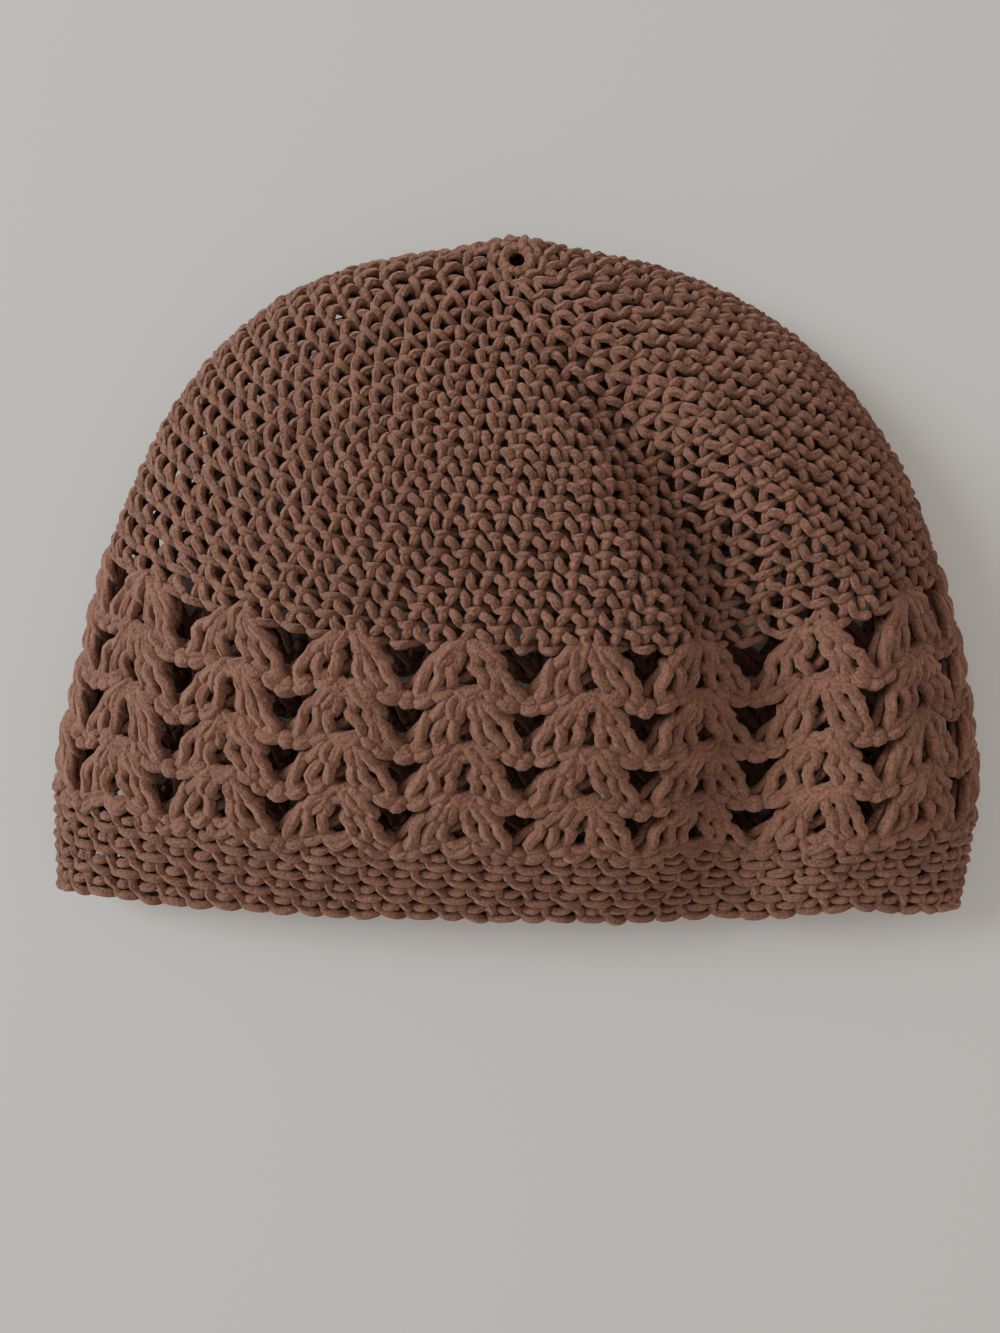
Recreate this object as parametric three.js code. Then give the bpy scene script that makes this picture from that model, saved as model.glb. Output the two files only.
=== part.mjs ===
// A crocheted cotton hat, lying on its side on a table as it is put down: the mouth towards -Y, the closed crown
// towards +Y, the upper layer arched over a lower layer that lies flat at Z = 0.
// It is worked from the middle of the crown outwards in four zones: a small foundation ring, a crown of close rounds,
// a lace band of stacked shells with a gap between each two columns, and a rim band of close rounds.
// Every zone is a wall that follows one surface. A point of it is given by a turn around the hat (0 in the middle of
// the upper layer, 0.25 at the right-hand fold) and by how far it lies along the fabric from the crown's middle.
// Millimetres, +Z up, the origin on the table under the middle of the hat.

import * as THREE from 'three';

// Overall size as it lies
const HAT_WIDTH = 184;
const HAT_LENGTH = 137;
const HAT_HEIGHT = 40;

// Fabric
const CROWN_WALL = 3.0;
const LACE_WALL = 2.6;
const RIM_WALL = 3.2;
const SEAM_GAP = 0.4;

// Rounds and rows, measured along the fabric
const CROWN_ROUNDS = 22;
const CROWN_ROUND_HEIGHT = 5;
const LACE_ROWS = 4;
const LACE_ROW_HEIGHT = 12;
const RIM_ROUNDS = 4;
const RIM_ROUND_HEIGHT = 4.25;
const SHELLS_AROUND = 18;

// Foundation ring, seated in the hole in the middle of the crown
const RING_RADIUS = 2.5;
const RING_YARN_RADIUS = 1.0;
const RING_CLEARANCE = 0.35;

// How the fabric is laid: the upper layer takes a few more stitches than the lower one
const EXTRA_STITCHES_ABOVE = 0.07;
const FLATTENING_LENGTH = 35;
const MOST_FLATTENING = 0.97;
const SIDE_FULLNESS = 0.7;

// The crease that runs down the upper layer, right of its middle, and the low ridge beyond it, which draws the
// mouth's edge back
const CREASE_DEPTH = 12;
const CREASE_WIDTH = 12;
const RIDGE_SHARE = 0.3;
const RIDGE_OFFSET = 2.1;
const RIDGE_PULL = 3.5;
const RIDGE_PULL_LENGTH = 20;

// Facets
const FACETS_PER_SHELL = 4;
const CROWN_BANDS = 12;
const RIM_BANDS = 2;
const RING_FACETS = 16;
const RING_YARN_FACETS = 8;

const LACE_START = CROWN_ROUNDS * CROWN_ROUND_HEIGHT;
const RIM_START = LACE_START + LACE_ROWS * LACE_ROW_HEIGHT;
const FABRIC_LENGTH = RIM_START + RIM_ROUNDS * RIM_ROUND_HEIGHT;
const FACETS_AROUND = SHELLS_AROUND * FACETS_PER_SHELL;

// Sections through the hat, from the crown's middle to the rim. along is a share of the fabric's length, half and
// centre are shares of half the width, the y columns are shares of the length and the z columns of the height.
// side is where the two layers fold into each other, top and under are the middles of the upper and lower layer,
// and skew is how much further towards +Y the right-hand fold lies than the middle of the two.
const SECTIONS = [
  { along: 0.000, half: 0.000, centre: 0.014, sideY: 0.449, sideZ: 0.475, topY: 0.449, topZ: 0.475, underY: 0.449, underZ: 0.475, skew: 0.000 },
  { along: 0.029, half: 0.054, centre: 0.013, sideY: 0.448, sideZ: 0.470, topY: 0.414, topZ: 0.510, underY: 0.482, underZ: 0.425, skew: 0.000 },
  { along: 0.086, half: 0.168, centre: 0.010, sideY: 0.448, sideZ: 0.437, topY: 0.352, topZ: 0.625, underY: 0.495, underZ: 0.175, skew: 0.000 },
  { along: 0.171, half: 0.337, centre: 0.010, sideY: 0.440, sideZ: 0.370, topY: 0.276, topZ: 0.762, underY: 0.455, underZ: -0.008, skew: -0.003 },
  { along: 0.257, half: 0.489, centre: 0.013, sideY: 0.407, sideZ: 0.315, topY: 0.206, topZ: 0.862, underY: 0.367, underZ: -0.010, skew: -0.006 },
  { along: 0.343, half: 0.620, centre: 0.019, sideY: 0.349, sideZ: 0.280, topY: 0.137, topZ: 0.937, underY: 0.276, underZ: -0.012, skew: -0.006 },
  { along: 0.429, half: 0.730, centre: 0.024, sideY: 0.268, sideZ: 0.265, topY: 0.068, topZ: 0.975, underY: 0.185, underZ: -0.012, skew: -0.007 },
  { along: 0.514, half: 0.813, centre: 0.030, sideY: 0.177, sideZ: 0.255, topY: -0.005, topZ: 0.988, underY: 0.090, underZ: -0.012, skew: -0.007 },
  { along: 0.629, half: 0.895, centre: 0.031, sideY: 0.035, sideZ: 0.245, topY: -0.100, topZ: 0.975, underY: -0.042, underZ: -0.012, skew: -0.015 },
  { along: 0.766, half: 0.958, centre: 0.030, sideY: -0.133, sideZ: 0.240, topY: -0.239, topZ: 0.875, underY: -0.210, underZ: -0.012, skew: -0.022 },
  { along: 0.903, half: 0.995, centre: 0.012, sideY: -0.314, sideZ: 0.235, topY: -0.374, topZ: 0.675, underY: -0.363, underZ: -0.012, skew: -0.022 },
  { along: 1.000, half: 0.984, centre: -0.004, sideY: -0.454, sideZ: 0.200, topY: -0.483, topZ: 0.350, underY: -0.472, underZ: -0.012, skew: -0.015 },
];

// The crease's line from the crown to the rim: y is a share of the length, x of half the width, depth of the
// crease's depth and width of its width.
const CREASE_LINE = [
  { y: 0.330, x: 0.109, depth: 0.00, width: 0.67 },
  { y: 0.266, x: 0.168, depth: 0.33, width: 0.71 },
  { y: 0.171, x: 0.266, depth: 0.75, width: 0.75 },
  { y: 0.076, x: 0.364, depth: 0.92, width: 0.83 },
  { y: -0.034, x: 0.451, depth: 1.00, width: 0.92 },
  { y: -0.136, x: 0.489, depth: 1.00, width: 1.00 },
  { y: -0.245, x: 0.484, depth: 0.92, width: 1.08 },
  { y: -0.369, x: 0.462, depth: 0.75, width: 1.08 },
  { y: -0.486, x: 0.435, depth: 0.45, width: 1.08 },
];

// Half of a lace gap's outline, from the middle of its top edge round the left to the middle of its foot. across is
// a share of half the distance between two shells, down a share of half a row's height.
const GAP_OUTLINE = [
  { across: 0.00, down: -0.60 },
  { across: 0.24, down: -0.60 },
  { across: 0.42, down: -0.44 },
  { across: 0.44, down: -0.04 },
  { across: 0.33, down: 0.24 },
  { across: 0.16, down: 0.42 },
  { across: 0.00, down: 0.50 },
];

// Value of one column of a table at a place, by a smooth curve through the rows.
function smoothColumn(table, key, column, place) {
  const last = table.length - 1;
  const way = Math.sign(table[last][key] - table[0][key]);
  const keys = table.map((row) => way * row[key]);
  const at = Math.min(Math.max(way * place, keys[0]), keys[last]);
  let i = 0;
  while (i < last - 1 && at > keys[i + 1]) i += 1;
  const step = (n) => keys[n + 1] - keys[n];
  const rise = (n) => (table[n + 1][column] - table[n][column]) / step(n);
  const slope = (n) => {
    if (n === 0) return rise(0);
    if (n === last) return rise(last - 1);
    return (rise(n - 1) * step(n) + rise(n) * step(n - 1)) / (step(n - 1) + step(n));
  };
  const t = (at - keys[i]) / step(i);
  const u = 1 - t;
  return table[i][column] * u * u * (1 + 2 * t) + table[i + 1][column] * t * t * (1 + 2 * u)
    + step(i) * t * u * (slope(i) * u - slope(i + 1) * t);
}

// What the crease does to the upper layer at a point: how far it drops, less the ridge beside it, and how far the
// ridge draws it back from the mouth.
function creaseEffect(x, y, length) {
  const share = y / HAT_LENGTH;
  const centre = smoothColumn(CREASE_LINE, 'y', 'x', share) * HAT_WIDTH / 2;
  const depth = smoothColumn(CREASE_LINE, 'y', 'depth', share) * CREASE_DEPTH;
  const width = smoothColumn(CREASE_LINE, 'y', 'width', share) * CREASE_WIDTH;
  const across = (x - centre) / width;
  const beyond = across - RIDGE_OFFSET;
  const ridge = Math.exp(-beyond * beyond);
  return {
    drop: depth * (Math.exp(-across * across) - RIDGE_SHARE * ridge),
    pull: RIDGE_PULL * ridge * Math.exp((length - FABRIC_LENGTH) / RIDGE_PULL_LENGTH),
  };
}

// A point of the hat's outer skin.
function skinPoint(turn, length) {
  const share = length / FABRIC_LENGTH;
  const row = (column) => smoothColumn(SECTIONS, 'along', column, share);
  const flat = 1 - Math.exp(-length / FLATTENING_LENGTH);
  const even = 2 * Math.PI * turn;
  const angle = even - EXTRA_STITCHES_ABOVE * Math.sin(even);
  const squeeze = MOST_FLATTENING * flat;
  const across = Math.asin(squeeze * Math.sin(angle)) / Math.asin(squeeze);
  const side = Math.sqrt(Math.max(0, 1 - Math.abs(across) ** (2 + SIDE_FULLNESS * flat)));
  const up = Math.cos(angle) < 0 ? -side : side;
  const bow = (mid, top, under) => mid + (top - under) / 2 * up + ((top + under) / 2 - mid) * up * up;
  const x = (row('centre') + row('half') * across) * HAT_WIDTH / 2;
  const y = (bow(row('sideY'), row('topY'), row('underY')) + row('skew') * across) * HAT_LENGTH;
  const arch = bow(row('sideZ'), row('topZ'), row('underZ')) * HAT_HEIGHT;
  const upper = up > 0 ? up * up : 0;
  const crease = creaseEffect(x, y, length);
  return new THREE.Vector3(x, y + upper * crease.pull, Math.max(0, arch - upper * crease.drop));
}

// The outward direction of the skin at a point.
function skinNormal(turn, length) {
  const du = 0.25 / FACETS_AROUND;
  const dl = 0.25;
  const around = skinPoint(turn + du, length).sub(skinPoint(turn - du, length));
  const along = skinPoint(turn, length + dl).sub(skinPoint(turn, length - dl));
  return along.cross(around).normalize();
}

// A closed wall under the skin. places are { turn, length }, and faces are triangles of their indices, counter-
// clockwise seen from outside. Each edge that only one face has gets a strip that joins the two sides of the wall.
function wallGeometry(places, faces, wall) {
  const outer = places.map((p) => skinPoint(p.turn, p.length));
  const inner = places.map((p, i) => outer[i].clone().addScaledVector(skinNormal(p.turn, p.length), -wall));
  const count = places.length;
  const key = (a, b) => a * count + b;
  const edges = new Set(faces.flatMap(([a, b, c]) => [key(a, b), key(b, c), key(c, a)]));
  const index = [];
  for (const [a, b, c] of faces) {
    index.push(a, b, c, count + a, count + c, count + b);
    for (const [from, to] of [[a, b], [b, c], [c, a]]) {
      if (!edges.has(key(to, from))) {
        index.push(to, from, count + from, to, count + from, count + to);
      }
    }
  }
  const geometry = new THREE.BufferGeometry();
  geometry.setAttribute('position', new THREE.Float32BufferAttribute([...outer, ...inner].flatMap((p) => p.toArray()), 3));
  geometry.setIndex(index);
  return geometry;
}

// A band of close rounds between two lengths along the fabric.
function closeBand(from, to, bands, wall) {
  const places = [];
  for (let i = 0; i <= bands; i += 1) {
    for (let j = 0; j < FACETS_AROUND; j += 1) {
      places.push({ turn: (j - FACETS_PER_SHELL / 2) / FACETS_AROUND, length: from + (to - from) * i / bands });
    }
  }
  const faces = [];
  for (let i = 0; i < bands; i += 1) {
    for (let j = 0; j < FACETS_AROUND; j += 1) {
      const next = (j + 1) % FACETS_AROUND;
      const [a, b] = [i * FACETS_AROUND + j, i * FACETS_AROUND + next];
      const [c, d] = [a + FACETS_AROUND, b + FACETS_AROUND];
      faces.push([a, c, d], [a, d, b]);
    }
  }
  return wallGeometry(places, faces, wall);
}

// The lace: one cell for each gap, from the middle of one shell to the middle of the next.
function laceBand(from, to, wall) {
  const rowHeight = (to - from) / LACE_ROWS;
  const places = [];
  const rims = [];
  for (let r = 0; r <= LACE_ROWS; r += 1) {
    for (let j = 0; j < FACETS_AROUND; j += 1) {
      places.push({ turn: (j - FACETS_PER_SHELL / 2) / FACETS_AROUND, length: from + r * rowHeight });
    }
  }
  const sides = places.length;
  for (let r = 0; r < LACE_ROWS; r += 1) {
    for (let q = 0; q < SHELLS_AROUND; q += 1) {
      places.push({ turn: (q - 0.5) / SHELLS_AROUND, length: from + (r + 0.5) * rowHeight });
    }
  }
  const corner = (r, q, i) => r * FACETS_AROUND + (q * FACETS_PER_SHELL + i) % FACETS_AROUND;
  const side = (r, q) => sides + r * SHELLS_AROUND + q % SHELLS_AROUND;
  const left = GAP_OUTLINE.map((p) => ({ across: -p.across, down: p.down }));
  const right = GAP_OUTLINE.slice(1, -1).reverse();
  const outline = [...left, ...right];
  for (let r = 0; r < LACE_ROWS; r += 1) {
    for (let q = 0; q < SHELLS_AROUND; q += 1) {
      const border = [
        corner(r, q, 2), corner(r, q, 1), corner(r, q, 0), side(r, q), corner(r + 1, q, 0), corner(r + 1, q, 1),
        corner(r + 1, q, 2), corner(r + 1, q, 3), corner(r + 1, q, 4), side(r, q + 1), corner(r, q, 4), corner(r, q, 3),
      ];
      const hole = outline.map((p) => places.push({
        turn: (q + p.across / 2) / SHELLS_AROUND,
        length: from + (r + 0.5 + p.down / 2) * rowHeight,
      }) - 1);
      rims.push({ border, hole });
    }
  }
  const faces = rims.flatMap(({ border, hole }) => border.flatMap((b, i) => {
    const next = (i + 1) % border.length;
    return [[b, border[next], hole[next]], [b, hole[next], hole[i]]];
  }));
  return wallGeometry(places, faces, wall);
}

// The foundation ring lies in the wall of the crown's middle, level with its outer skin.
function foundationRing() {
  const profile = [];
  for (let i = 0; i <= RING_YARN_FACETS; i += 1) {
    const angle = 2 * Math.PI * (i % RING_YARN_FACETS) / RING_YARN_FACETS;
    profile.push(new THREE.Vector2(
      RING_RADIUS + RING_YARN_RADIUS * Math.cos(angle),
      RING_YARN_RADIUS * Math.sin(angle),
    ));
  }
  return new THREE.LatheGeometry(profile, RING_FACETS);
}

const yarn = (name, colour, roughness) => new THREE.MeshStandardMaterial({ name, color: colour, roughness, metalness: 0 });
const CLOSE_YARN = yarn('brown_cotton_rounds', 0x6b4a40, 0.92);
const LACE_YARN = yarn('brown_cotton_lace', 0x70503f, 0.9);

const hat = new THREE.Group();

function add(name, geometry, material) {
  const mesh = new THREE.Mesh(geometry, material);
  mesh.name = name;
  hat.add(mesh);
  return mesh;
}

const crownStart = RING_RADIUS + RING_YARN_RADIUS + RING_CLEARANCE;
add('crown', closeBand(crownStart, LACE_START - SEAM_GAP / 2, CROWN_BANDS, CROWN_WALL), CLOSE_YARN);
add('lace_band', laceBand(LACE_START + SEAM_GAP / 2, RIM_START - SEAM_GAP / 2, LACE_WALL), LACE_YARN);
add('rim_band', closeBand(RIM_START + SEAM_GAP / 2, FABRIC_LENGTH, RIM_BANDS, RIM_WALL), CLOSE_YARN);

const ring = add('foundation_ring', foundationRing(), CLOSE_YARN);
const crownAxis = skinNormal(0, crownStart).add(skinNormal(0.5, crownStart)).normalize();
const crownMiddle = skinPoint(0, crownStart).add(skinPoint(0.5, crownStart)).multiplyScalar(0.5);
ring.position.copy(crownMiddle).addScaledVector(crownAxis, -CROWN_WALL / 2);
ring.quaternion.setFromUnitVectors(new THREE.Vector3(0, 1, 0), crownAxis);

// The origin is put under the middle of the hat, on the table.
hat.updateMatrixWorld(true);
const extent = new THREE.Box3().setFromObject(hat, true);
hat.position.set(-(extent.min.x + extent.max.x) / 2, -(extent.min.y + extent.max.y) / 2, -extent.min.z);
hat.updateMatrixWorld(true);

export default hat;
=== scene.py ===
# The looks of a brown crocheted cotton hat that lies on its side: every stitch is one loop of swept yarn,
# laid on the same surface as the solids. Metres, +Z up, the closed crown towards +Y, the open mouth towards -Y.

import math

import bpy
import numpy as np
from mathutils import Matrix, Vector


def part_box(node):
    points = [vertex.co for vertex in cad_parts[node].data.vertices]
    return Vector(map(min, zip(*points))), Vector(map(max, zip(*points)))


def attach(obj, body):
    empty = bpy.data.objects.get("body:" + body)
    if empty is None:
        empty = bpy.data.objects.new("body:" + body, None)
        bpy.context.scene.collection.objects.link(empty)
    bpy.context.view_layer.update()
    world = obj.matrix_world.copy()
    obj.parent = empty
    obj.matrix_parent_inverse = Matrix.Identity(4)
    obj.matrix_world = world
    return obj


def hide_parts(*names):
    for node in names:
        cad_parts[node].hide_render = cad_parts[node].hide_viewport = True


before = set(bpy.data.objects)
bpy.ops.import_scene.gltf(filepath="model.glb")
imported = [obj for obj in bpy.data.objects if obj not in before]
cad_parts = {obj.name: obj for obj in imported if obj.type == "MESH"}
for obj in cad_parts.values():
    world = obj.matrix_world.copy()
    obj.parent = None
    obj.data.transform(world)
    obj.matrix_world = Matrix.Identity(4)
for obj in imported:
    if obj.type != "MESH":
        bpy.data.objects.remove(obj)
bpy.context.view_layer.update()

MM = 0.001
FULL_TURN = 2 * math.pi

# Overall size as it lies, in millimetres like every length below that has no other unit
HAT_WIDTH = 184.0
HAT_LENGTH = 137.0
HAT_HEIGHT = 40.0

# Rounds and rows along the fabric
CROWN_ROUNDS = 22
CROWN_ROUND_HEIGHT = 5.0
ROUNDS_WITH_INCREASES = 12
INCREASES = 6
LACE_ROWS = 4
LACE_ROW_HEIGHT = 12.0
RIM_ROUNDS = 4
RIM_ROUND_HEIGHT = 4.25
SHELLS_AROUND = 18
RING_RADIUS = 2.5
# Where the crown's solid starts, beyond the ring
CROWN_START = 3.85

# Yarn
YARN_RADIUS = 0.84
LACE_YARN_RADIUS = 1.14
RING_YARN_RADIUS = 1.10
RIM_YARN_RADIUS = 0.92
# Sides of a tube of yarn
SIDES = 6
# How uneven the ring is where stitches wrap it
RING_LUMPS = 0.09
# How far each round's stitches stand to the side of those before, as a share of a stitch
LEAN = -0.2

# How the fabric is flattened and bowed, and its crease with the ridge beside it
EXTRA_STITCHES_ABOVE = 0.07
FLATTENING_LENGTH = 35.0
MOST_FLATTENING = 0.97
SIDE_FULLNESS = 0.7
CREASE_DEPTH = 12.0
CREASE_WIDTH = 12.0
RIDGE_SHARE = 0.3
RIDGE_OFFSET = 2.1
RIDGE_PULL = 3.5
RIDGE_PULL_LENGTH = 20.0
# How far the fabric goes on in y for each millimetre past the rim
PAST_RIM_SLOPE = 0.8
# The least length from the crown's middle, where the surface still has a direction
LEAST_LENGTH = 0.05

LACE_START = CROWN_ROUNDS * CROWN_ROUND_HEIGHT
RIM_START = LACE_START + LACE_ROWS * LACE_ROW_HEIGHT
FABRIC_LENGTH = RIM_START + RIM_ROUNDS * RIM_ROUND_HEIGHT
STITCHES_AROUND = INCREASES * ROUNDS_WITH_INCREASES

# Sections from the crown's middle to the rim. along is a share of the fabric's length, half and centre are
# shares of half the width, the y columns are shares of the length and the z columns of the height.
SECTION_COLUMNS = (
    "along", "half", "centre", "side_y", "side_z", "top_y", "top_z", "under_y", "under_z", "skew")
SECTIONS = (
    (0.000, 0.000, 0.014, 0.449, 0.475, 0.449, 0.475, 0.449, 0.475, 0.000),
    (0.029, 0.054, 0.013, 0.448, 0.470, 0.414, 0.510, 0.482, 0.425, 0.000),
    (0.086, 0.168, 0.010, 0.448, 0.437, 0.352, 0.625, 0.495, 0.175, 0.000),
    (0.171, 0.337, 0.010, 0.440, 0.370, 0.276, 0.762, 0.455, -0.008, -0.003),
    (0.257, 0.489, 0.013, 0.407, 0.315, 0.206, 0.862, 0.367, -0.010, -0.006),
    (0.343, 0.620, 0.019, 0.349, 0.280, 0.137, 0.937, 0.276, -0.012, -0.006),
    (0.429, 0.730, 0.024, 0.268, 0.265, 0.068, 0.975, 0.185, -0.012, -0.007),
    (0.514, 0.813, 0.030, 0.177, 0.255, -0.005, 0.988, 0.090, -0.012, -0.007),
    (0.629, 0.895, 0.031, 0.035, 0.245, -0.100, 0.975, -0.042, -0.012, -0.015),
    (0.766, 0.958, 0.030, -0.133, 0.240, -0.239, 0.875, -0.210, -0.012, -0.022),
    (0.903, 0.995, 0.012, -0.314, 0.235, -0.374, 0.675, -0.363, -0.012, -0.022),
    (1.000, 0.984, -0.004, -0.454, 0.200, -0.483, 0.350, -0.472, -0.012, -0.015),
)

# The crease's line from the crown to the rim, in shares of the length, half the width, its depth and width
CREASE_COLUMNS = ("y", "x", "depth", "width")
CREASE_LINE = (
    (0.330, 0.109, 0.00, 0.67),
    (0.266, 0.168, 0.33, 0.71),
    (0.171, 0.266, 0.75, 0.75),
    (0.076, 0.364, 0.92, 0.83),
    (-0.034, 0.451, 1.00, 0.92),
    (-0.136, 0.489, 1.00, 1.00),
    (-0.245, 0.484, 0.92, 1.08),
    (-0.369, 0.462, 0.75, 1.08),
    (-0.486, 0.435, 0.45, 1.08),
)


def smooth_column(table, columns, key, column, place):
    """Values of one column of a table at an array of places, by a smooth curve through the rows."""
    keys = np.array([row[columns.index(key)] for row in table])
    values = np.array([row[columns.index(column)] for row in table])
    if keys[-1] < keys[0]:
        keys, values = keys[::-1], values[::-1]
    step = np.diff(keys)
    rise = np.diff(values) / step
    inner = (rise[:-1] * step[1:] + rise[1:] * step[:-1]) / (step[:-1] + step[1:])
    slope = np.concatenate([rise[:1], inner, rise[-1:]])
    at = np.clip(place, keys[0], keys[-1])
    i = np.clip(np.searchsorted(keys, at, side="left") - 1, 0, len(step) - 1)
    t = (at - keys[i]) / step[i]
    u = 1 - t
    return (values[i] * u * u * (1 + 2 * t) + values[i + 1] * t * t * (1 + 2 * u)
            + step[i] * t * u * (slope[i] * u - slope[i + 1] * t))


def skin_point(turn, length):
    """Points of the outer skin, at arrays of turns round the hat and lengths along the fabric."""
    length = np.clip(length, LEAST_LENGTH, None)
    beyond_rim = np.maximum(length - FABRIC_LENGTH, 0.0)
    share = length / FABRIC_LENGTH

    def row(column):
        return smooth_column(SECTIONS, SECTION_COLUMNS, "along", column, share)

    flat = 1 - np.exp(-length / FLATTENING_LENGTH)
    even = FULL_TURN * turn
    angle = even - EXTRA_STITCHES_ABOVE * np.sin(even)
    squeeze = MOST_FLATTENING * flat
    across = np.arcsin(squeeze * np.sin(angle)) / np.arcsin(squeeze)
    side = np.sqrt(np.maximum(0, 1 - np.abs(across) ** (2 + SIDE_FULLNESS * flat)))
    up = np.where(np.cos(angle) < 0, -side, side)

    def bow(middle, top, under):
        return middle + (top - under) / 2 * up + ((top + under) / 2 - middle) * up * up

    x = (row("centre") + row("half") * across) * HAT_WIDTH / 2
    y = (bow(row("side_y"), row("top_y"), row("under_y")) + row("skew") * across) * HAT_LENGTH
    arch = bow(row("side_z"), row("top_z"), row("under_z")) * HAT_HEIGHT
    y_share = y / HAT_LENGTH
    centre = smooth_column(CREASE_LINE, CREASE_COLUMNS, "y", "x", y_share) * HAT_WIDTH / 2
    depth = smooth_column(CREASE_LINE, CREASE_COLUMNS, "y", "depth", y_share) * CREASE_DEPTH
    width = smooth_column(CREASE_LINE, CREASE_COLUMNS, "y", "width", y_share) * CREASE_WIDTH
    crease = (x - centre) / width
    ridge = np.exp(-(crease - RIDGE_OFFSET) ** 2)
    upper = np.where(up > 0, up * up, 0.0)
    drop = depth * (np.exp(-crease ** 2) - RIDGE_SHARE * ridge)
    pull = RIDGE_PULL * ridge * np.exp((length - FABRIC_LENGTH) / RIDGE_PULL_LENGTH)
    z = np.maximum(0, arch - upper * drop)
    return np.stack([x, y + upper * pull - beyond_rim * PAST_RIM_SLOPE, z], -1)


# Steps round the hat and along the fabric, from which a point's normal is worked out
NORMAL_TURN = 0.25 / STITCHES_AROUND
NORMAL_LENGTH = 0.4
# A length too small to divide by
TINY = 1e-9


def lay(turn, length, out):
    """Points that lie the given way out from the skin, moved to the solids' place."""
    point = skin_point(turn, length)
    around = skin_point(turn + NORMAL_TURN, length) - skin_point(turn - NORMAL_TURN, length)
    before = np.maximum(length - NORMAL_LENGTH, LEAST_LENGTH)
    along = skin_point(turn, length + NORMAL_LENGTH) - skin_point(turn, before)
    normal = np.cross(along, around)
    normal /= np.maximum(np.linalg.norm(normal, axis=-1, keepdims=True), TINY)
    return point + normal * out[..., None] + SKIN_SHIFT


# How many turns and lengths the surface is sampled at to find its middle
CENTRE_TURNS = 721
CENTRE_LENGTHS = 400


def solids_centre():
    """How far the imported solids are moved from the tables' own place."""
    turns = np.linspace(0, 1, CENTRE_TURNS)
    lengths = np.linspace(CROWN_START, FABRIC_LENGTH, CENTRE_LENGTHS)
    t, s = np.meshgrid(turns, lengths)
    points = skin_point(t, s).reshape(-1, 3)
    middle = (points.min(0) + points.max(0)) / 2
    low = min(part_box(n)[0].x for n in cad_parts), min(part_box(n)[0].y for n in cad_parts)
    high = max(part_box(n)[1].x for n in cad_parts), max(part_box(n)[1].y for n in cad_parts)
    packed = np.array([low[0] + high[0], low[1] + high[1]]) / 2 / MM
    return np.array([packed[0] - middle[0], packed[1] - middle[1], 0.0])


SKIN_SHIFT = solids_centre()

# Points between two control points of a path, before it is sampled
DENSE_POINTS = 12
# What one radian of bend counts for when samples are shared out, in lengths of yarn
BEND_COST = 1.1
# Any direction that no yarn starts in
SIDEWAYS = np.array([0.31, 0.22, 0.93])


def smooth_path(points, samples, closing):
    """A dense curve through control points and the places on it to sample. closing steps to the next loop."""
    control = np.array(points, float)
    count = len(control)
    before = control[-1] - closing
    after = control[:2] + closing
    padded = np.vstack([before, control, after])
    dense = []
    for i in range(count):
        p0, p1, p2, p3 = padded[i:i + 4]
        t = np.linspace(0, 1, DENSE_POINTS, endpoint=False)[:, None]
        dense.append(0.5 * (2 * p1 + (p2 - p0) * t + (2 * p0 - 5 * p1 + 4 * p2 - p3) * t ** 2
                            + (3 * p1 - p0 - 3 * p2 + p3) * t ** 3))
    dense = np.vstack(dense + [padded[count + 1][None]])
    return dense, pick(dense, samples)


def pick(dense, samples):
    """Places on a dense curve for a number of samples, closer where it bends."""
    step = np.diff(dense, axis=0)
    ds = np.linalg.norm(step, axis=1)
    direction = step / ds[:, None]
    turn = np.zeros(len(ds))
    turn[1:] = np.arccos(np.clip((direction[1:] * direction[:-1]).sum(1), -1, 1))
    cost = np.concatenate([[0], np.cumsum(ds + BEND_COST * turn)])
    wanted = np.linspace(0, cost[-1], samples)
    return np.interp(wanted, cost, np.arange(len(dense)))


def at_places(dense, places):
    """Points of a dense curve at places that may lie between two of them."""
    i = np.clip(places.astype(int), 0, len(dense) - 2)
    f = (places - i)[:, None]
    return dense[i] * (1 - f) + dense[i + 1] * f


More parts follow.
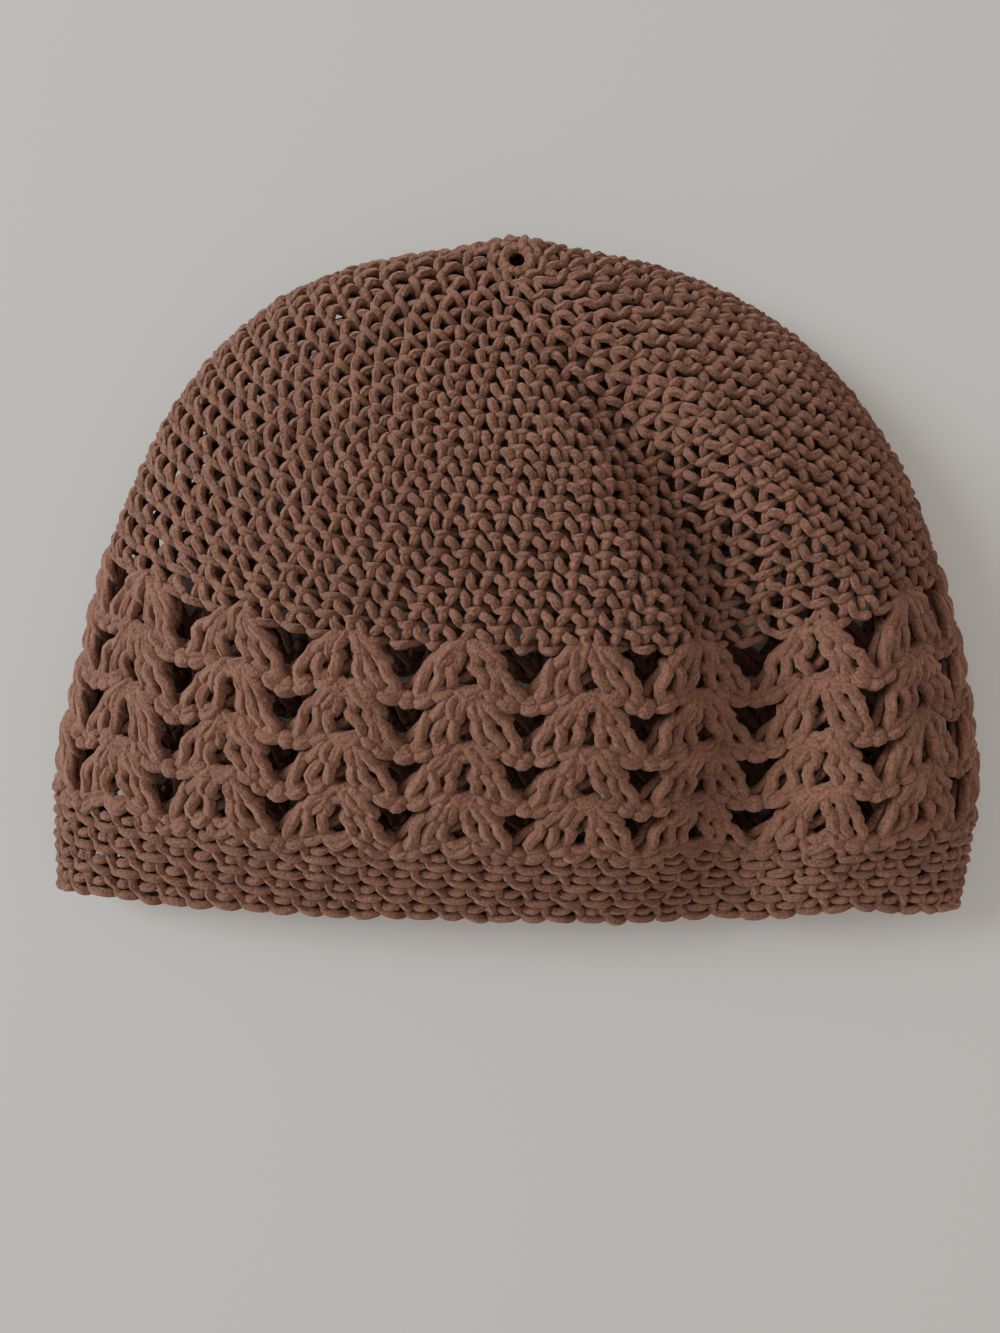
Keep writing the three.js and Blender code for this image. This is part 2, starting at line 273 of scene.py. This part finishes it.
def sweep(paths, radius):
    """Tubes of yarn along paths of shape (tubes, points, 3), with a radius for each point."""
    tubes, points = paths.shape[:2]
    tangent = np.empty_like(paths)
    tangent[:, 1:-1] = paths[:, 2:] - paths[:, :-2]
    tangent[:, 0] = paths[:, 1] - paths[:, 0]
    tangent[:, -1] = paths[:, -1] - paths[:, -2]
    tangent /= np.maximum(np.linalg.norm(tangent, axis=2, keepdims=True), TINY)
    normal = np.empty_like(paths)
    start = np.cross(tangent[:, 0], SIDEWAYS)
    normal[:, 0] = start / np.linalg.norm(start, axis=1, keepdims=True)
    for k in range(1, points):
        n = normal[:, k - 1] - tangent[:, k] * (normal[:, k - 1] * tangent[:, k]).sum(1, keepdims=True)
        normal[:, k] = n / np.maximum(np.linalg.norm(n, axis=1, keepdims=True), TINY)
    binormal = np.cross(tangent, normal)
    side = np.arange(SIDES)
    angle = side * 2 * math.pi / SIDES
    around = np.cos(angle)[:, None] * normal[:, :, None] + np.sin(angle)[:, None] * binormal[:, :, None]
    rings = paths[:, :, None] + radius[..., None, None] * around
    vertices = rings.reshape(-1, 3)
    base = (np.arange(tubes)[:, None] * points + np.arange(points - 1)[None]) * SIDES
    a = base[..., None] + side
    b = base[..., None] + (side + 1) % SIDES
    faces = np.stack([a, a + SIDES, b + SIDES, b], -1).reshape(-1, 4)
    ds = np.linalg.norm(np.diff(paths, axis=1), axis=2)
    run = np.concatenate([np.zeros((tubes, 1)), np.cumsum(ds, 1)], 1)
    low = np.broadcast_to(run[:, :-1, None], (tubes, points - 1, SIDES))
    high = np.broadcast_to(run[:, 1:, None], (tubes, points - 1, SIDES))
    left = np.broadcast_to(side / SIDES, low.shape)
    right = np.broadcast_to((side + 1) / SIDES, low.shape)
    uv = np.stack([np.stack([low, left], -1), np.stack([high, left], -1),
                   np.stack([high, right], -1), np.stack([low, right], -1)], -2).reshape(-1, 2)
    return vertices, faces, uv


def join(parts):
    """One set of arrays from several."""
    vertices, faces, uvs, count = [], [], [], 0
    for v, f, uv in parts:
        vertices.append(v)
        faces.append(f + count)
        uvs.append(uv)
        count += len(v)
    return np.vstack(vertices), np.vstack(faces), np.vstack(uvs)


def piece(name, arrays, material, node):
    """A mesh object from arrays in millimetres, riding on the solids and standing for one of them."""
    vertices, faces, uv = arrays
    mesh = bpy.data.meshes.new(name)
    mesh.vertices.add(len(vertices))
    mesh.vertices.foreach_set("co", (vertices * MM).astype(np.float32).ravel())
    mesh.loops.add(faces.size)
    mesh.loops.foreach_set("vertex_index", faces.astype(np.int32).ravel())
    mesh.polygons.add(len(faces))
    mesh.polygons.foreach_set("loop_start", np.arange(0, faces.size, 4, dtype=np.int32))
    mesh.polygons.foreach_set("use_smooth", np.ones(len(faces), bool))
    layer = mesh.uv_layers.new(name="along_yarn")
    layer.data.foreach_set("uv", uv.astype(np.float32).ravel())
    mesh.update(calc_edges=True)
    mesh.validate()
    obj = bpy.data.objects.new(name, mesh)
    bpy.context.scene.collection.objects.link(obj)
    mesh.materials.append(material)
    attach(obj, "root")
    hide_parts(node)


# One single crochet: share of the stitch's width, share of the round's height, out from the wall's middle.
# In the middle of a layer the rounds are pushed together, and at its sides and in the first rounds open.
MIDDLE_STITCH = (
    (-0.76, 0.80, -0.40),
    (-0.74, 0.62, 0.50),
    (-0.68, 0.42, 1.10),
    (-0.58, 0.18, 0.70),
    (-0.50, 0.00, -0.60),
    (-0.42, -0.06, -0.85),
    (-0.34, 0.00, -0.35),
    (-0.29, 0.14, 0.70),
    (-0.22, 0.28, 1.40),
    (-0.14, 0.44, 1.55),
    (-0.06, 0.60, 1.10),
    (-0.01, 0.78, 0.30),
    (0.03, 0.93, 0.50),
    (0.11, 1.02, 1.10),
    (0.21, 1.03, 1.30),
    (0.32, 0.98, 0.90),
    (0.43, 0.93, 0.00),
    (0.62, 0.88, -0.60),
    (0.76, 0.80, -0.88),
    (0.58, 0.68, -0.90),
    (0.38, 0.72, -0.85),
)
OPEN_STITCH = (
    (-0.72, 0.84, -0.60),
    (-0.63, 0.75, 0.05),
    (-0.56, 0.58, 0.65),
    (-0.51, 0.38, 0.85),
    (-0.48, 0.16, 0.30),
    (-0.46, -0.02, -0.65),
    (-0.42, -0.06, -0.60),
    (-0.38, 0.06, 0.20),
    (-0.33, 0.22, 1.10),
    (-0.24, 0.39, 1.45),
    (-0.12, 0.56, 1.35),
    (0.00, 0.72, 1.05),
    (0.10, 0.84, 1.00),
    (0.24, 0.90, 1.25),
    (0.40, 0.90, 1.35),
    (0.56, 0.90, 1.20),
    (0.70, 0.92, 0.80),
    (0.84, 0.95, 0.15),
    (0.88, 0.96, -0.60),
    (0.60, 0.94, -0.85),
    (0.32, 0.91, -0.80),
)
# The rim's single crochet, with its running strands on the outside
RIM_STITCH = (
    (-0.84, 0.60, -0.40),
    (-0.78, 0.50, 0.60),
    (-0.64, 0.45, 1.15),
    (-0.46, 0.42, 1.25),
    (-0.30, 0.38, 0.70),
    (-0.26, 0.20, -0.35),
    (-0.24, -0.02, -0.80),
    (-0.20, -0.02, -0.30),
    (-0.18, 0.10, 0.40),
    (-0.14, 0.26, 0.95),
    (-0.07, 0.44, 1.10),
    (0.00, 0.62, 0.80),
    (0.06, 0.80, 0.80),
    (0.16, 0.90, 1.10),
    (0.32, 0.93, 1.30),
    (0.50, 0.94, 1.35),
    (0.68, 0.95, 1.25),
    (0.84, 0.96, 0.85),
    (0.97, 0.97, -0.10),
    (0.66, 0.94, -0.88),
    (0.32, 0.90, -0.80),
)
CLOSE_SAMPLES = 32
# How far the strands' middles stand out at most
FRONT_REACH = 1.2
# How much more the columns of stitches lean on the right of the hat than on its left
SIDE_LEAN = 0.06
# How much thicker the yarn is where it stands out, for each millimetre above a level
FLUFF = 0.07
FLUFF_LEVEL = 0.3
# How far from the crown's middle the rounds get close, and how far from it the unevenness sets in
CLOSE_FROM = 8.0
UNEVEN_FROM = 15.0
# Where the first round starts, on the ring's outer side, and its height
FIRST_START = RING_RADIUS + 0.9
FIRST_HEIGHT = CROWN_ROUND_HEIGHT - RING_RADIUS - 0.4

# The unevenness of close stitches: a seed, and an amount as a share of a stitch's width or in millimetres
UNEVEN_TURN = (1.0, 0.12)
UNEVEN_LENGTH = (5.0, 0.28)
UNEVEN_OUT = (9.0, 0.16)
# Its waves: how many go round the hat, how fast they shift along the fabric, what share of the seed they take
WAVES = ((13, 0.31, 1.0), (29, -0.73, 2.3), (47, 1.31, 4.1))


def wander(turn, length, seed, amount):
    """A small smooth unevenness of the work, different for each seed."""
    a = FULL_TURN * turn
    waves = sum(np.sin(number * a + shift * length + share * seed) for number, shift, share in WAVES)
    return amount * waves / 2.0


def close_round(middle, side, count, start, height, phase, radius):
    """One round of single crochet between two lengths along the fabric."""
    step = np.array([1.0, 0.0, 0.0])
    dense, places = smooth_path(middle, CLOSE_SAMPLES, step)
    open_dense = smooth_path(side, CLOSE_SAMPLES, step)[0]
    close, opened = at_places(dense, places), at_places(open_dense, places)
    i = np.arange(count)[:, None]
    at = (i + phase) / count
    closeness = (np.cos(FULL_TURN * at) ** 2 * (1 - math.exp(-start / CLOSE_FROM)))[..., None]
    local = opened[None] + (close - opened)[None] * closeness
    turn = at + local[..., 0] / count
    length = start + height * local[..., 1]
    out = local[..., 2] - FRONT_REACH - radius
    lean = SIDE_LEAN * np.sin(FULL_TURN * turn) * np.maximum(LACE_START - length, 0) / CROWN_ROUND_HEIGHT
    ease = length / (length + UNEVEN_FROM)
    turn = turn + (lean + wander(turn, length, *UNEVEN_TURN)) * ease / count
    length = length + wander(turn, length, *UNEVEN_LENGTH) * ease
    fullness = 1 + FLUFF * (local[..., 2] - FLUFF_LEVEL)
    out = out + wander(turn, length, *UNEVEN_OUT) * ease
    return sweep(lay(turn, length, out), radius * fullness)


def crown_round(number):
    """One round of the crown, counted from 1."""
    count = min(INCREASES * number, STITCHES_AROUND)
    start = (number - 1) * CROWN_ROUND_HEIGHT
    height = CROWN_ROUND_HEIGHT
    if number == 1:
        start, height = FIRST_START, FIRST_HEIGHT
    return close_round(MIDDLE_STITCH, OPEN_STITCH, count, start, height, LEAN * number, YARN_RADIUS)


def rim_round(number):
    """One round of the rim, counted from 0."""
    start = RIM_START + number * RIM_ROUND_HEIGHT
    phase = LEAN * number
    return close_round(
        RIM_STITCH, RIM_STITCH, STITCHES_AROUND, start, RIM_ROUND_HEIGHT, phase, RIM_YARN_RADIUS)


# The post of one treble: how far up it as a share, how far to its side, out from the wall's middle
POST = (
    (0.50, 0.00, -0.90),
    (0.14, 0.00, -0.90),
    (-0.05, 0.00, -0.40),
    (-0.03, -0.10, 0.50),
    (0.10, -0.05, 1.20),
    (0.28, 0.05, 1.40),
    (0.44, 0.20, 1.05),
    (0.54, 0.30, 0.10),
    (0.50, 0.10, -0.70),
    (0.42, -0.40, -0.60),
    (0.43, -0.55, 0.30),
    (0.54, -0.40, 1.10),
    (0.70, -0.10, 1.35),
    (0.86, 0.15, 1.05),
    (0.97, 0.35, 0.20),
    (0.84, 0.40, -0.60),
)
# The head of one treble: how far to the next one as a share, how far to the side, out from the wall's middle
HEAD = (
    (0.03, 0.10, -0.10),
    (0.12, 0.65, 0.80),
    (0.40, 1.00, 1.25),
    (0.72, 0.85, 1.10),
    (1.00, 0.20, 0.30),
    (0.82, -0.60, 0.55),
    (0.48, -0.85, 0.90),
    (0.12, -0.60, 0.10),
)
LACE_SAMPLES = 58
LACE_FRONT_REACH = 0.85
# Where a treble's yarn comes from, seen from the head before: up or down the row, and out
YARN_FROM_UP = -0.3
YARN_FROM_OUT = -0.75
# The unevenness of the trebles: a seed and an amount, in 1 / TURN_SHARE of a full turn and in millimetres
LACE_UNEVEN_TURN = (1.7, 0.14)
LACE_UNEVEN_LENGTH = (5.3, 0.35)
LACE_UNEVEN_OUT = (9.1, 0.15)
TURN_SHARE = 90
# The trebles of half a shell: from the shell's middle and the row's start to the foot and to where the post
# bends, and from the shell's middle and the row's end to the head
TREBLE_COLUMNS = ("foot_across", "foot_up", "bend_across", "bend_up", "head_across", "head_up")
TREBLES = (
    (0.7, -1.0, 1.9, 4.5, 2.7, -2.6),
    (1.2, -1.0, 4.2, 3.5, 5.7, -1.0),
    (1.7, -1.0, 6.5, 2.4, 8.9, 0.6),
)
SHELL_WIDTH = 20.3
# How far the chain between a shell's halves hangs below their heads, and the treble that it follows
CHAIN_SAG = 1.9
CHAIN_AFTER = 2


def shell_trebles():
    """Foot, bend and head of a shell's six trebles, in the order they are worked."""
    found = []
    for side in (-1, 1):
        rows = TREBLES[::-1] if side < 0 else TREBLES
        for row in rows:
            value = dict(zip(TREBLE_COLUMNS, row))
            foot = np.array([side * value["foot_across"], value["foot_up"]])
            bend = np.array([side * value["bend_across"], value["bend_up"]])
            head = np.array([side * value["head_across"], LACE_ROW_HEIGHT + value["head_up"]])
            found.append((foot, bend, head))
    return found


def lace_row(row):
    """One row of shells."""
    trebles = shell_trebles()
    parts = []
    shells = (np.arange(SHELLS_AROUND) + 0.5) / SHELLS_AROUND
    start = LACE_START + row * LACE_ROW_HEIGHT
    count = len(trebles)
    width = np.array([SHELL_WIDTH, 0.0])
    for i, (foot, bend, head) in enumerate(trebles):
        previous = trebles[i - 1][2] - (width if i == 0 else 0)
        following = trebles[(i + 1) % count][2] + (width if i == count - 1 else 0)
        step = following - head
        step_side = np.array([-step[1], step[0]]) / np.linalg.norm(step)
        control = [(*(previous + np.array([0.0, YARN_FROM_UP])), YARN_FROM_OUT)]
        for t, across, out in POST:
            axis = foot * (1 - t) ** 2 + 2 * bend * t * (1 - t) + head * t ** 2
            slope = (bend - foot) * (1 - t) + (head - bend) * t
            side = np.array([slope[1], -slope[0]]) / np.linalg.norm(slope)
            control.append((*(axis + side * across), out))
        sag = CHAIN_SAG if i == CHAIN_AFTER else 0.0
        for along, across, out in HEAD:
            hang = np.array([0.0, sag * math.sin(math.pi * along)])
            control.append((*(head + step * along + step_side * across + hang), out))
        closing = np.array([head[0] - previous[0], head[1] - previous[1], 0.0])
        dense, places = smooth_path(control, LACE_SAMPLES, closing)
        across, along, out = (np.tile(values, (SHELLS_AROUND, 1)) for values in at_places(dense, places).T)
        fullness = 1 + FLUFF * (out - FLUFF_LEVEL)
        turn = shells[:, None] + across / SHELL_WIDTH / SHELLS_AROUND
        length = start + along
        out = out - LACE_FRONT_REACH - LACE_YARN_RADIUS
        (turn_seed, turn_by), (length_seed, length_by), (out_seed, out_by) = (
            LACE_UNEVEN_TURN, LACE_UNEVEN_LENGTH, LACE_UNEVEN_OUT)
        turn = turn + wander(turn, length, turn_seed + i, turn_by) / TURN_SHARE
        length = length + wander(turn, length, length_seed + i, length_by)
        out = out + wander(turn, length, out_seed + i, out_by)
        parts.append(sweep(lay(turn, length, out), LACE_YARN_RADIUS * fullness))
    return join(parts)


RING_SAMPLES = 61
RING_LOOP_RADIUS = RING_RADIUS + 0.2
RING_OUT = -0.8


def ring_arrays():
    """The foundation ring: a closed loop of yarn in the crown's middle."""
    turn = np.linspace(0, 1, RING_SAMPLES)[None]
    length = np.full_like(turn, RING_LOOP_RADIUS)
    out = np.full_like(turn, RING_OUT)
    lumps = 1 + RING_LUMPS * np.sin(FULL_TURN * 2 * INCREASES * turn)
    return sweep(lay(turn, length, out), RING_YARN_RADIUS * lumps)


# Dull, woolly yarn with a weak sheen
YARN_ROUGHNESS = 0.92
YARN_SPECULAR = 0.15
SHEEN_WEIGHT = 0.45
SHEEN_ROUGHNESS = 0.5
# Dark and light patches: where they start in the noise, and what they make of the colour
PATCH_SCALE = 140.0
PATCH_DETAIL = 4.0
PATCH_DARK = (0.3, 0.82)
PATCH_LIGHT = (0.7, 1.15)
# Plies twisted round each other, with millimetres of yarn for a full twist and the relief in metres
TWIST_LENGTH = 7.0
PLIES = 4
PLY_STRENGTH = 0.8
PLY_RELIEF = 0.00016
# Fibres: a fine noise for speckles of colour and for relief in metres
FIBRE_SCALE = 1900.0
FIBRE_DETAIL = 5.0
SPECKLE_DARK = (0.35, (0.72, 0.70, 0.68, 1.0))
SPECKLE_LIGHT = (0.68, (1.25, 1.27, 1.30, 1.0))
FIBRE_STRENGTH = 0.9
FIBRE_RELIEF = 0.00045
# A mix node's sockets for colour: two inputs, one result
MIX_FIRST = 6
MIX_SECOND = 7
MIX_RESULT = 2


def yarn_material(name, colour, warm):
    """Brown yarn with plies and fibres. warm is the colour of its sheen."""
    material = bpy.data.materials.new(name)
    material.use_nodes = True
    nodes = material.node_tree.nodes
    links = material.node_tree.links
    shader = nodes["Principled BSDF"]
    shader.inputs["Roughness"].default_value = YARN_ROUGHNESS
    shader.inputs["Specular IOR Level"].default_value = YARN_SPECULAR
    shader.inputs["Sheen Weight"].default_value = SHEEN_WEIGHT
    shader.inputs["Sheen Roughness"].default_value = SHEEN_ROUGHNESS
    shader.inputs["Sheen Tint"].default_value = (*warm, 1.0)
    place = nodes.new("ShaderNodeTexCoord")
    patches = nodes.new("ShaderNodeTexNoise")
    patches.inputs["Scale"].default_value = PATCH_SCALE
    patches.inputs["Detail"].default_value = PATCH_DETAIL
    ramp = nodes.new("ShaderNodeValToRGB")
    for element, (position, gain) in zip(ramp.color_ramp.elements, (PATCH_DARK, PATCH_LIGHT)):
        element.position = position
        element.color = (*[c * gain for c in colour], 1.0)
    links.new(place.outputs["Object"], patches.inputs["Vector"])
    links.new(patches.outputs["Fac"], ramp.inputs["Fac"])
    uv = nodes.new("ShaderNodeUVMap")
    uv.uv_map = "along_yarn"
    split = nodes.new("ShaderNodeSeparateXYZ")
    links.new(uv.outputs["UV"], split.inputs["Vector"])
    twist = nodes.new("ShaderNodeMath")
    twist.operation = "MULTIPLY"
    twist.inputs[1].default_value = FULL_TURN / TWIST_LENGTH
    links.new(split.outputs["X"], twist.inputs[0])
    around = nodes.new("ShaderNodeMath")
    around.operation = "MULTIPLY_ADD"
    around.inputs[1].default_value = FULL_TURN * PLIES
    links.new(split.outputs["Y"], around.inputs[0])
    links.new(twist.outputs[0], around.inputs[2])
    wave = nodes.new("ShaderNodeMath")
    wave.operation = "SINE"
    links.new(around.outputs[0], wave.inputs[0])
    bump = nodes.new("ShaderNodeBump")
    bump.inputs["Strength"].default_value = PLY_STRENGTH
    bump.inputs["Distance"].default_value = PLY_RELIEF
    links.new(wave.outputs[0], bump.inputs["Height"])
    fibre = nodes.new("ShaderNodeTexNoise")
    fibre.inputs["Scale"].default_value = FIBRE_SCALE
    fibre.inputs["Detail"].default_value = FIBRE_DETAIL
    links.new(place.outputs["Object"], fibre.inputs["Vector"])
    speckle = nodes.new("ShaderNodeValToRGB")
    for element, (position, tint) in zip(speckle.color_ramp.elements, (SPECKLE_DARK, SPECKLE_LIGHT)):
        element.position = position
        element.color = tint
    links.new(fibre.outputs["Fac"], speckle.inputs["Fac"])
    shade = nodes.new("ShaderNodeMix")
    shade.data_type = "RGBA"
    shade.blend_type = "MULTIPLY"
    shade.inputs[0].default_value = 1.0
    links.new(ramp.outputs["Color"], shade.inputs[MIX_FIRST])
    links.new(speckle.outputs["Color"], shade.inputs[MIX_SECOND])
    links.new(shade.outputs[MIX_RESULT], shader.inputs["Base Color"])
    fuzz = nodes.new("ShaderNodeBump")
    fuzz.inputs["Strength"].default_value = FIBRE_STRENGTH
    fuzz.inputs["Distance"].default_value = FIBRE_RELIEF
    links.new(fibre.outputs["Fac"], fuzz.inputs["Height"])
    links.new(bump.outputs["Normal"], fuzz.inputs["Normal"])
    links.new(fuzz.outputs["Normal"], shader.inputs["Normal"])
    return material


ROUNDS_COLOUR = (0.185, 0.091, 0.064)
LACE_COLOUR = (0.188, 0.092, 0.064)
SHEEN_COLOUR = (0.55, 0.40, 0.34)
close_yarn = yarn_material("brown_cotton_rounds", ROUNDS_COLOUR, SHEEN_COLOUR)
lace_yarn = yarn_material("brown_cotton_lace", LACE_COLOUR, SHEEN_COLOUR)

INNER_ROUNDS = [crown_round(number) for number in range(1, 11)]
MIDDLE_ROUNDS = [crown_round(number) for number in range(11, 17)]
OUTER_ROUNDS = [crown_round(number) for number in range(17, CROWN_ROUNDS + 1)]

piece("foundation_ring_yarn", ring_arrays(), close_yarn, "foundation_ring")
piece("crown_inner_rounds", join(INNER_ROUNDS), close_yarn, "crown")
piece("crown_middle_rounds", join(MIDDLE_ROUNDS), close_yarn, "crown")
piece("crown_outer_rounds", join(OUTER_ROUNDS), close_yarn, "crown")
piece("lace_upper_rows", join([lace_row(r) for r in (0, 1)]), lace_yarn, "lace_band")
piece("lace_lower_rows", join([lace_row(r) for r in (2, 3)]), lace_yarn, "lace_band")
piece("rim_rounds", join([rim_round(r) for r in range(RIM_ROUNDS)]), close_yarn, "rim_band")

# Floor, in metres
FLOOR_SIZE = 6.0
FLOOR_COLOUR = (0.62, 0.60, 0.57, 1.0)
FLOOR_ROUGHNESS = 0.8
bpy.ops.mesh.primitive_plane_add(size=FLOOR_SIZE, location=(0, 0, 0))
floor = bpy.context.object
floor.name = "floor"
paper = bpy.data.materials.new("pale_floor")
paper.use_nodes = True
paper_shader = paper.node_tree.nodes["Principled BSDF"]
paper_shader.inputs["Base Color"].default_value = FLOOR_COLOUR
paper_shader.inputs["Roughness"].default_value = FLOOR_ROUGHNESS
floor.data.materials.append(paper)


# What the lights point at, in metres
LIGHT_TARGET = (0, 0, 0.02)


def softbox(name, place, size, power, colour):
    """A square area light in metres and watts, turned towards the hat."""
    light = bpy.data.lights.new(name, "AREA")
    light.shape = "RECTANGLE"
    light.size = size
    light.size_y = size
    light.energy = power
    light.color = colour
    lamp = bpy.data.objects.new(name, light)
    bpy.context.scene.collection.objects.link(lamp)
    lamp.location = place
    lamp.rotation_euler = (Vector(LIGHT_TARGET) - Vector(place)).to_track_quat("-Z", "Y").to_euler()


softbox("window", place=(-1.0, 0.35, 0.62), size=0.5, power=16.0, colour=(0.94, 0.98, 1.0))
softbox("room", place=(0.5, -0.5, 1.1), size=1.2, power=2.0, colour=(0.95, 0.97, 1.0))
WORLD_COLOUR = (1.0, 0.91, 0.82, 1.0)
WORLD_STRENGTH = 0.62
world = bpy.data.worlds.new("soft_room")
bpy.context.scene.world = world
world.use_nodes = True
background = world.node_tree.nodes["Background"]
background.inputs["Color"].default_value = WORLD_COLOUR
background.inputs["Strength"].default_value = WORLD_STRENGTH

# The camera looks straight down, from a place in metres. The focal length and the picture's height are in
# pixels, and give the lens for a sensor whose width is in millimetres.
CAMERA_PLACE = (-0.0029, -0.0170, 0.225)
FOCAL_PIXELS = 1083
PICTURE_HEIGHT = 1333
SENSOR_WIDTH = 36.0
camera_data = bpy.data.cameras.new("camera")
camera_data.lens = SENSOR_WIDTH * FOCAL_PIXELS / PICTURE_HEIGHT
camera_data.sensor_width = SENSOR_WIDTH
camera = bpy.data.objects.new("camera", camera_data)
bpy.context.scene.collection.objects.link(camera)
camera.location = CAMERA_PLACE
camera.rotation_euler = (0, 0, 0)
bpy.context.scene.camera = camera
